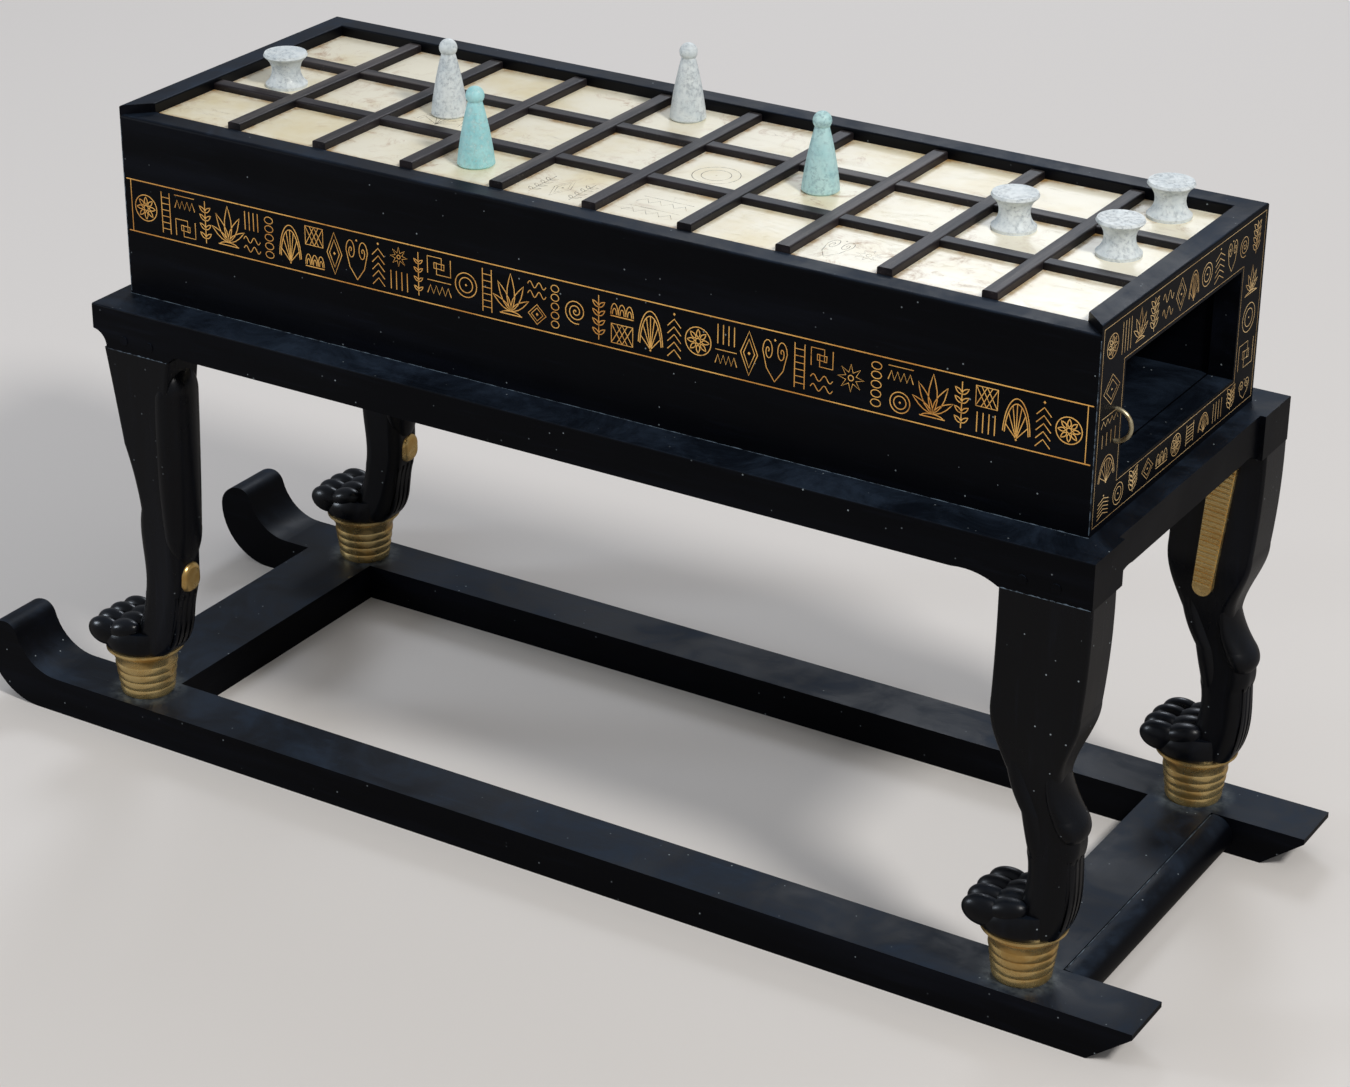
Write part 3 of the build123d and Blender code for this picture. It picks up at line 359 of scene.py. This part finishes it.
# the grain is drawn out along one axis
drawnOut = 0.08
alongX, alongY, alongZ = (drawnOut, 1.0, 1.0), (1.0, drawnOut, 1.0), (1.0, 1.0, drawnOut)
woodX = blackWood("black_wood_long", alongX)
woodY = blackWood("black_wood_across", alongY)
woodZ = blackWood("black_wood_upright", alongZ, dustAndSheenAmount=0.3, shine=0.34, roughness=0.2)
stripX = stripWood("strip_wood_long", alongX)
stripY = stripWood("strip_wood_across", alongY)
ivoryPlate = ivory("ivory_plate", squareGrid)
ivoryUnder = ivory("ivory_plate_under")
giltSurface = gilding("gilding")
stapleMetal = plainMetal("staple_metal", tone(226, 214, 178), tone(160, 142, 106))
whiteFaience = faience("white_faience", body=tone(228, 235, 236), shade=tone(202, 213, 218),
                       fleck=tone(118, 134, 152), fleckShare=0.45)
turquoiseFaience = faience("turquoise_faience", body=tone(172, 226, 228), shade=tone(142, 208, 214),
                           fleck=tone(220, 242, 240), fleckShare=0.6)
paleTurquoise = faience("pale_turquoise_faience", body=tone(192, 228, 228), shade=tone(166, 212, 216),
                        fleck=tone(120, 156, 172), fleckShare=0.5)
frontGold = goldLine("front_gold_line", tone(236, 182, 98), tone(204, 142, 66))
endGold = goldLine("end_gold_line", tone(222, 190, 136), tone(182, 146, 94), gap=0.75)
squareInk = inkLine("square_ink", tone(70, 58, 44), tone(206, 192, 158))
# the pale strokes of this ink are dust in the joints and on the ledge, and on the box's front corners wear plus a
# painted edge highlight
dustAndHighlightInk = inkLine("joint_dust", tone(92, 108, 122), tone(20, 25, 34))

finishes = {
    woodX: ["front_panel", "back_panel", "rim_back", "top_board", "bottom_board", "bay_floor", "bay_side_front",
            "bay_side_back", "underside_plain_panels", "rail_front", "rail_back", "runner_front",
            "runner_back"],
    woodY: ["left_end_panel", "right_end_panel", "rim_left", "rim_right", "bay_end_wall", "rail_left",
            "rail_right", "cross_bar_left", "cross_board_right", "cross_moulding_right", "leg_pegs"],
    woodZ: ["foreleg_front", "foreleg_back", "hind_leg_front", "hind_leg_back"],
    stripX: ["long_strips_front", "long_strips_back", "underside_long_strips"],
    stripY: ["cross_strips", "underside_cross_strips"],
    ivoryPlate: ["squares_front_row", "squares_middle_row", "squares_back_row"],
    ivoryUnder: ["underside_squares"],
    giltSurface: ["drum_front_left", "drum_front_right", "drum_back_left", "drum_back_right",
                  "carpal_pad_front", "carpal_pad_back", "ribbed_strip_front", "ribbed_strip_back"],
    stapleMetal: ["staple"],
    whiteFaience: ["cone_white_left", "cone_white_back", "reel_left", "reel_middle", "reel_right_middle",
                   "reel_right_back"],
    turquoiseFaience: ["cone_turquoise"],
    paleTurquoise: ["cone_pale_turquoise"],
}
for material, names in finishes.items():
    for name in names:
        for holder in nodes[name].material_slots:
            holder.material = material
print("finishes assigned")

# Ornament: generic motifs as strokes, each a list of (across, up) points in mm with a width at each point
panelLow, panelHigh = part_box("front_panel")
box = {"left": panelLow.x, "right": panelHigh.x, "front": panelLow.y, "back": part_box("back_panel")[1].y,
       "low": panelLow.z, "top": panelHigh.z}


def stroke(points, width=1.0, closed=False):
    widths = width if isinstance(width, list) else [width] * len(points)
    return {"points": points, "widths": widths, "closed": closed}


def level(halfLength, y, width=0.9):
    return stroke([(-halfLength, y), (halfLength, y)], width)


def upright(x, halfLength, width=0.9):
    return stroke([(x, -halfLength), (x, halfLength)], width)


def around(radiusX, radiusY, angle, x=0.0, y=0.0):
    # the point of an ellipse at an angle in degrees
    a = math.radians(angle)
    return (x + radiusX * math.cos(a), y + radiusY * math.sin(a))


def arc(x, y, radiusX, radiusY, start, end, width=0.9, steps=16):
    angles = [start + (end - start) * i / steps for i in range(steps + 1)]
    closed = abs(end - start) >= 360
    points = [around(radiusX, radiusY, angle, x, y) for angle in angles]
    return stroke(points[:-1] if closed else points, width, closed)


def ring(radius, width, steps):
    return arc(0, 0, radius, radius, 0, 360, width, steps)


def leaf(x, y, length, angle, fat=0.2):
    # the outline of a pointed leaf
    a = math.radians(angle)
    sides = [(t, fat * math.sin(math.pi * t ** 0.8)) for t in (0, 0.15, 0.35, 0.6, 0.82)]
    outline = sides + [(1, 0)] + [(t, -f) for t, f in reversed(sides[1:])]
    across, up = length * math.cos(a), length * math.sin(a)
    points = [(x + t * across - f * up, y + t * up + f * across) for t, f in outline]
    return stroke(points, 0.9, True)


def dot(x, y, size=2.6):
    # a small filled lozenge
    return stroke([(x - size * 0.2, y), (x, y), (x + size * 0.2, y)], [0.4, size, 0.4])


def rosette(w, h):
    r = min(w, h) * 0.47
    petals = [leaf(*around(r * 0.26, r * 0.26, a), r * 0.6, a, 0.24) for a in range(0, 360, 45)]
    return [ring(r, 0.9, 28), ring(r * 0.2, 0.9, 12)] + petals


def palmette(w, h):
    base = -h * 0.4
    leaves = [leaf(0, base + h * 0.08, h * (0.8 - abs(a - 90) / 200), a, 0.12) for a in (34, 62, 90, 118, 146)]
    return leaves + [arc(0, base, w * 0.34, h * 0.07, 0, 180, steps=10), level(w * 0.4, base, 1.0)]


def chevrons(w, h):
    return [stroke([(-w * 0.42, y), (0, y + h * 0.16), (w * 0.42, y)], 0.9)
            for y in (-h * 0.46, -h * 0.3, -h * 0.14, h * 0.02, h * 0.18)] + [dot(0, h * 0.44)]


def zigzag(w, h):
    last = 8
    points = [(-w * 0.47 + w * 0.94 * i / last, (h * 0.2 if i % 2 else -h * 0.2)) for i in range(last + 1)]
    return [stroke(points, 0.9), level(w * 0.47, h * 0.42, 0.7)]


def lozenge(w, h):
    frames = [stroke([(-w * s, 0), (0, h * s), (w * s, 0), (0, -h * s)], 0.9, True) for s in (0.46, 0.3)]
    return frames + [dot(0, 0, 3.0)]


def rings(w, h):
    r = min(w, h) * 0.46
    return [ring(r, 0.9, 24), ring(r * 0.62, 0.9, 24), dot(0, 0, 2.4)]


def bars(w, h):
    return [upright(x * w, h * 0.44) for x in (-0.36, -0.12, 0.12, 0.36)]


def wave(w, h):
    shares = [i / 24 for i in range(25)]
    ripple = [(-w * 0.47 + w * 0.94 * t, h * 0.14 * math.sin(t * 4 * math.pi)) for t in shares]
    return shifted([stroke(ripple, 0.8)], 0, -h * 0.22) + shifted([stroke(ripple, 0.8)], 0, h * 0.22)


def spiral(w, h):
    r = min(w, h) * 0.47
    shares = [i / 44 for i in range(45)]
    return [stroke([around(r * t, r * t, 1008 * t) for t in shares], 0.9)]


def fan(w, h):
    base = -h * 0.42
    tips = [around(w * 0.4, h * 0.7, a, 0, base) for a in (22, 45, 68, 90, 112, 135, 158)]
    rays = [stroke([(0, base), tip], 0.8) for tip in tips]
    edges = [arc(0, base, w * s, h * s * 1.75, 8, 172, steps=18) for s in (0.46, 0.4)]
    return rays + edges + [dot(0, -h * 0.44, 2.2)]


def sprig(w, h):
    starts = (-h * 0.36, -h * 0.16, h * 0.04, h * 0.22)
    return [leaf(0, y, w * 0.46, a) for y in starts for a in (40, 140)] + [upright(0, h * 0.47)]


def lattice(w, h):
    x, y = w * 0.44, h * 0.44
    frame = stroke([(-x, -y), (x, -y), (x, y), (-x, y)], 0.9, True)
    slants = [stroke([(s * w - w * 0.22 * d, -y), (s * w + w * 0.22 * d, y)], 0.7)
              for s in (-0.22, 0, 0.22) for d in (-1, 1)]
    return [frame] + slants


def scallops(w, h):
    row = [arc(x * w, -h * 0.26, w * 0.15 * s, h * 0.5 * s, 0, 180, 0.8, 10)
           for x in (-0.31, 0, 0.31) for s in (1, 0.55)]
    return row + [level(w * 0.47, -h * 0.34, 1.0)]


def fret(w, h):
    turns = [(-0.46, -0.4), (-0.46, 0.4), (0.1, 0.4), (0.1, -0.12), (-0.2, -0.12), (-0.2, 0.14), (-0.08, 0.14)]
    return [stroke([(x * w * side, y * h * side) for x, y in turns], 0.9) for side in (1, -1)]


def beads(w, h):
    return [arc(0, y * h, w * 0.3, h * 0.075, 0, 360, 0.8, 12) for y in (-0.38, -0.19, 0, 0.19, 0.38)]


def ladder(w, h):
    rungs = [level(w * 0.3, y * h, 0.7) for y in (-0.36, -0.22, -0.08, 0.06, 0.2, 0.34)]
    return [upright(-w * 0.3, h * 0.46), upright(w * 0.3, h * 0.46)] + rungs


def star(w, h):
    r = min(w, h) * 0.46
    radii = (r, r * 0.42)
    tips = [around(radii[i % 2], radii[i % 2], i * 22.5) for i in range(16)]
    return [stroke(tips, 0.8, True), ring(r * 0.2, 0.8, 10)]


def volutes(w, h):
    lines = []
    shares = [i / 26 for i in range(27)]
    for side in (-1, 1):
        curl = [around(side * w * 0.2 * (1 - t), h * 0.26 * (1 - t), 612 * t, side * w * 0.24, h * 0.16)
                for t in shares]
        lines.append(stroke(curl, 0.8))
        lines.append(stroke([(side * w * 0.44, h * 0.16), (side * w * 0.3, -h * 0.2), (0, -h * 0.46)], 0.8))
    return lines + [dot(0, h * 0.4, 2.4)]


def shifted(strokes, x, y):
    return [{**s, "points": [(p[0] + x, p[1] + y) for p in s["points"]]} for s in strokes]


def cell(entry, w, h):
    # one motif, or two stacked
    if isinstance(entry, tuple):
        upper, lower = entry
        return shifted(upper(w, h * 0.46), 0, h * 0.26) + shifted(lower(w, h * 0.46), 0, -h * 0.26)
    return entry(w, h)


def facingFront(y):
    return Matrix(((1, 0, 0, 0), (0, 0, -1, y), (0, 1, 0, 0), (0, 0, 0, 1)))


def facingUp(z):
    return Matrix(((1, 0, 0, 0), (0, 1, 0, 0), (0, 0, 1, z), (0, 0, 0, 1)))


def drawStrokes(name, strokes, toSpace, material, body, lineWidth=0.25, flatness=0.2):
    # strokes become flattened round lines on the plane of toSpace, half sunk in the surface
    curve = bpy.data.curves.new(name + "_line", "CURVE")
    curve.dimensions = "3D"
    curve.bevel_depth = lineWidth * mm
    curve.bevel_resolution = 1
    curve.use_fill_caps = True
    for item in strokes:
        spline = curve.splines.new("POLY")
        spline.points.add(len(item["points"]) - 1)
        spline.use_cyclic_u = item["closed"]
        for point, (x, y), width in zip(spline.points, item["points"], item["widths"]):
            point.co = (x * mm, y * mm, 0, 1)
            point.radius = width
    drawn = bpy.data.objects.new(name + "_line", curve)
    bpy.context.collection.objects.link(drawn)
    bpy.context.view_layer.update()
    mesh = bpy.data.meshes.new_from_object(drawn.evaluated_get(bpy.context.evaluated_depsgraph_get()))
    mesh.name = name
    bpy.data.objects.remove(drawn)
    mesh.transform(toSpace @ Matrix.Diagonal((1, 1, flatness, 1)))
    piece = bpy.data.objects.new(name, mesh)
    bpy.context.collection.objects.link(piece)
    mesh.materials.clear()
    mesh.materials.append(material)
    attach(piece, body)


# Front band: two border lines, an upright line at each end, and a row of motifs with their shares of it
frontBand = {"low": 238.4, "high": 262.0, "margin": 1.5, "lineWidth": 1.05, "endLine": 2.2, "clear": 3.0,
             "headroom": 3.4, "fill": 0.9,
             "motifs": [(1.2, rosette), (0.7, ladder), (1.1, (zigzag, fret)), (0.8, sprig), (1.3, palmette),
                        (0.9, (bars, wave)), (0.7, beads), (1.2, fan), (1.0, (lattice, scallops)),
                        (0.8, lozenge), (1.2, volutes), (0.7, chevrons), (1.1, (star, bars)), (0.6, sprig),
                        (1.2, (fret, zigzag)), (1.1, rings), (0.7, ladder), (1.3, palmette),
                        (0.9, (wave, lozenge)), (0.6, beads), (1.1, spiral), (0.8, sprig),
                        (1.1, (scallops, lattice)), (1.2, fan), (0.7, chevrons), (1.2, rosette),
                        (1.0, (bars, zigzag)), (0.8, lozenge), (1.2, volutes), (0.7, ladder),
                        (1.0, (fret, wave)), (1.2, star), (0.7, beads), (1.1, (zigzag, rings)),
                        (1.3, palmette), (0.8, sprig), (1.0, (lattice, bars)), (1.2, fan), (0.7, chevrons),
                        (1.1, rosette)]}


def frontOrnament(look):
    left, right = box["left"] / mm + look["margin"], box["right"] / mm - look["margin"]
    low, high = look["low"], look["high"]
    strokes = [stroke([(left, z), ((left + right) / 2, z), (right, z)], look["lineWidth"]) for z in (low, high)]
    for x in (left + look["endLine"], right - look["endLine"]):
        strokes.append(stroke([(x, low), (x, high)], 0.8))
    unit = (right - left - 2 * look["clear"]) / sum(share for share, entry in look["motifs"])
    height = high - low - look["headroom"]
    x = left + look["clear"]
    for share, entry in look["motifs"]:
        motif = cell(entry, unit * share * look["fill"], height)
        strokes += shifted(motif, x + unit * share / 2, (low + high) / 2)
        x += unit * share
    drawStrokes("front_band_ornament", strokes, facingFront(box["front"]), frontGold, "game_box")


frontOrnament(frontBand)

# End panel: lines round the outside and round the drawer opening, with motifs on all four sides
endFrame = {"edge": 2.0, "innerEdge": 1.6, "opening": (-52.5, 55.5, 226.0, 272.5), "low": 211.8, "top": 291.8,
            "rowGap": 3.0, "rowEnd": 2.0, "jambGap": 4.0, "jambEnd": 1.0, "fill": 0.84, "lineWidth": 0.18,
            "header": [rosette, bars, palmette, sprig, wave, lozenge, fan, rings, chevrons, volutes, spiral,
                       sprig],
            "sill": [chevrons, rings, sprig, lozenge, scallops, rosette, ladder, fan, bars, sprig, volutes],
            "leftJamb": [fan, (zigzag, bars), lozenge], "rightJamb": [fret, rings, palmette]}


def endOrnament(look):
    x0, x1 = box["front"] / mm + look["edge"], box["back"] / mm - look["edge"]
    z0, z1 = look["low"], look["top"]
    left, right, low, high = look["opening"]
    o0, o1 = left - look["innerEdge"], right + look["innerEdge"]
    p0, p1 = low - look["innerEdge"], high + look["innerEdge"]
    strokes = [stroke([(x0, z0), (x1, z0), (x1, z1), (x0, z1)], 0.8, True),
               stroke([(o0, p0), (o1, p0), (o1, p1), (o0, p1)], 0.8, True)]
    for motifs, start, end in ((look["header"], p1, z1), (look["sill"], z0, p0)):
        pitch = (x1 - x0 - 2 * look["rowEnd"]) / len(motifs)
        for i, entry in enumerate(motifs):
            x = x0 + look["rowEnd"] + (i + 0.5) * pitch
            motif = cell(entry, pitch * look["fill"], end - start - look["rowGap"])
            strokes += shifted(motif, x, (start + end) / 2)
    for motifs, start, end in ((look["leftJamb"], x0, o0), (look["rightJamb"], o1, x1)):
        pitch = (p1 - p0 - 2 * look["jambEnd"]) / len(motifs)
        for i, entry in enumerate(motifs):
            z = p0 + look["jambEnd"] + (i + 0.5) * pitch
            motif = cell(entry, end - start - look["jambGap"], pitch * look["fill"])
            strokes += shifted(motif, (start + end) / 2, z)
    facingRight = Matrix(((0, 0, 1, box["right"]), (1, 0, 0, 0), (0, 1, 0, 0), (0, 0, 0, 1)))
    drawStrokes("end_panel_ornament", strokes, facingRight, endGold, "game_box", look["lineWidth"])


endOrnament(endFrame)

# Fine dark line drawings on a few of the squares: (column, row, motifs side by side)
squareMarks = {"width": 29, "height": 22, "forward": 3, "fill": 0.86, "lineWidth": 0.15, "flatness": 0.15,
               "marks": [(4, 0, [sprig, lozenge, sprig]), (5, 0, [(zigzag, zigzag)]), (7, 0, [volutes, star]),
                         (5, 1, [rings]), (2, 1, [fan])]}


def markSquares(look):
    strokes = []
    for column, row, motifs in look["marks"]:
        x = squareGrid["left"] + squareGrid["pitchX"] * (column + 0.5)
        y = squareGrid["front"] + squareGrid["pitchY"] * (row + 0.5)
        width = look["width"] / len(motifs)
        for i, entry in enumerate(motifs):
            across = x + (i - (len(motifs) - 1) / 2) * width
            motif = cell(entry, width * look["fill"], look["height"])
            strokes += shifted(motif, across, y - look["forward"])
    top = facingUp(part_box("squares_front_row")[1].z)
    drawStrokes("square_marks", strokes, top, squareInk, "game_box", look["lineWidth"],
                look["flatness"])


markSquares(squareMarks)

# Pale dust in the joints between legs and rails, on the ledge in front of the box and along the seam of the
# right cross board, and pale lines on the front corners of the box that are wear plus a painted edge highlight;
# ends are in mm along each joint
dustAndHighlightWobble = {"sway": 0.12, "thin": 0.15, "middling": 0.55, "swell": 0.6}
legDust = {"legTop": 189.5, "forelegEnds": (-210.5, -178.0), "hindLegEnds": (222.0, 259.6), "lineWidth": 0.3,
           "flatness": 0.15}
ledgeDust = {"forward": 0.3, "lineWidth": 0.34, "flatness": 0.3}
cornerWearAndHighlight = {"inset": 0.25, "above": 1, "below": 2, "lineWidth": 0.3, "flatness": 0.3}
seamDust = {"inset": 1, "outward": 0.35, "below": 0.45, "lineWidth": 0.34, "flatness": 0.5}


def dustAndHighlightStroke(start, end, seed, width=1.0, count=26):
    points, widths = [], []
    for i in range(count + 1):
        t = i / count
        wobble = math.sin(seed + i * 2.3) * math.sin(seed * 1.7 + i * 0.9)
        sway = wobble * dustAndHighlightWobble["sway"]
        points.append((start[0] + (end[0] - start[0]) * t, start[1] + (end[1] - start[1]) * t + sway))
        widths.append(width * max(dustAndHighlightWobble["thin"], dustAndHighlightWobble["middling"] + dustAndHighlightWobble["swell"] * wobble))
    return stroke(points, widths)


def drawDustAndHighlight(name, strokes, toSpace, look, body="stand"):
    drawStrokes(name, strokes, toSpace, dustAndHighlightInk, body, look["lineWidth"], look["flatness"])


def dustLegs(look):
    top = look["legTop"]
    strokes = [dustAndHighlightStroke((start, top), (end, top), seed)
               for (start, end), seed in ((look["forelegEnds"], 1.0), (look["hindLegEnds"], 2.0))]
    drawDustAndHighlight("leg_joint_dust_front", strokes, facingFront(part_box("rail_front")[0].y), look)
    facingBack = Matrix(((1, 0, 0, 0), (0, 0, 1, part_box("rail_back")[1].y), (0, 1, 0, 0), (0, 0, 0, 1)))
    drawDustAndHighlight("leg_joint_dust_back", strokes, facingBack, look)


def dustLedge(look):
    y = box["front"] / mm - look["forward"]
    strokes = [dustAndHighlightStroke((box["left"] / mm, y), (box["right"] / mm, y), 7.0, 1.1, 160)]
    drawDustAndHighlight("ledge_dust", strokes, facingUp(box["low"]), look)


def paintCornerWearAndHighlight(look):
    # pale strokes down the front corners of the box: partly wear, partly a painted highlight where the rounded
    # edges catch the light
    low, top = box["low"] / mm + look["above"], box["top"] / mm - look["below"]
    corners = ((box["left"] / mm + look["inset"], 9.0), (box["right"] / mm - look["inset"], 12.0))
    strokes = [dustAndHighlightStroke((x, low), (x, top), seed, 0.8, 60) for x, seed in corners]
    drawDustAndHighlight("corner_wear_and_highlight", strokes, facingFront(box["front"]), look, "game_box")


def dustSeam(look):
    low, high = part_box("cross_moulding_right")
    strokes = [dustAndHighlightStroke((low.y / mm + look["inset"], 0), (high.y / mm - look["inset"], 0), 4.0, 1.0, 60)]
    x, z = low.x + look["outward"] * mm, high.z - look["below"] * mm
    drawDustAndHighlight("seam_dust", strokes, Matrix(((0, 1, 0, x), (1, 0, 0, 0), (0, 0, 1, z), (0, 0, 0, 1))), look)


dustLegs(legDust)
dustLedge(ledgeDust)
paintCornerWearAndHighlight(cornerWearAndHighlight)
dustSeam(seamDust)
print("ornament drawn")

# Floor and light: floor and background are darker in reflections, so that they don't veil the black polish
stageLook = {"floor": tone(222, 218, 214), "mirroredFloor": tone(128, 124, 120), "floorSize": 6,
             "world": tone(236, 236, 238), "mirroredWorld": tone(178, 182, 190), "worldStrength": 0.5}
lamps = {
    "key": {"place": (1.9, -0.75, 2.2), "target": (0, 0, 0.2), "size": 0.42, "power": 46,
            "color": (1.0, 0.98, 0.95)},
    "fill": {"place": (-1.7, -0.95, 0.6), "target": (0, 0, 0.15), "size": 0.36, "power": 9,
             "color": (0.8, 0.89, 1.0)},
    "rim": {"place": (-0.8, 2.0, 1.7), "target": (0, 0, 0.2), "size": 0.8, "power": 15,
            "color": (0.84, 0.9, 1.0)},
}


def buildStage(look):
    mesh = bpy.data.meshes.new("floor")
    made = bmesh.new()
    bmesh.ops.create_grid(made, x_segments=1, y_segments=1, size=look["floorSize"])
    made.to_mesh(mesh)
    made.free()
    floor = bpy.data.objects.new("floor", mesh)
    bpy.context.collection.objects.link(floor)
    material, shader, place = newMaterial("floor", roughness=0.9, specular=0.2)
    glossy = place.node("ShaderNodeLightPath", output="Is Glossy Ray")
    feed(shader, "Base Color", blendColors(glossy, look["floor"], look["mirroredFloor"]))
    mesh.materials.append(material)
    world = bpy.data.worlds.new("studio")
    world.use_nodes = True
    bpy.context.scene.world = world
    background = world.node_tree.nodes["Background"]
    rays = Field(world.node_tree, None).node("ShaderNodeLightPath", output="Is Glossy Ray")
    feed(background, "Color", blendColors(rays, look["world"], look["mirroredWorld"]))
    background.inputs["Strength"].default_value = look["worldStrength"]


def softLight(name, look):
    data = bpy.data.lights.new(name, "AREA")
    data.shape = "DISK"
    data.size = look["size"]
    data.energy = look["power"]
    data.color = look["color"]
    lamp = bpy.data.objects.new(name, data)
    lamp.location = look["place"]
    lamp.rotation_mode = "QUATERNION"
    lamp.rotation_quaternion = (Vector(look["target"]) - Vector(look["place"])).to_track_quat("-Z", "Y")
    bpy.context.collection.objects.link(lamp)


buildStage(stageLook)
for name, look in lamps.items():
    softLight(name, look)
bpy.context.scene.view_settings.view_transform = "Standard"

print("stage and light ready")
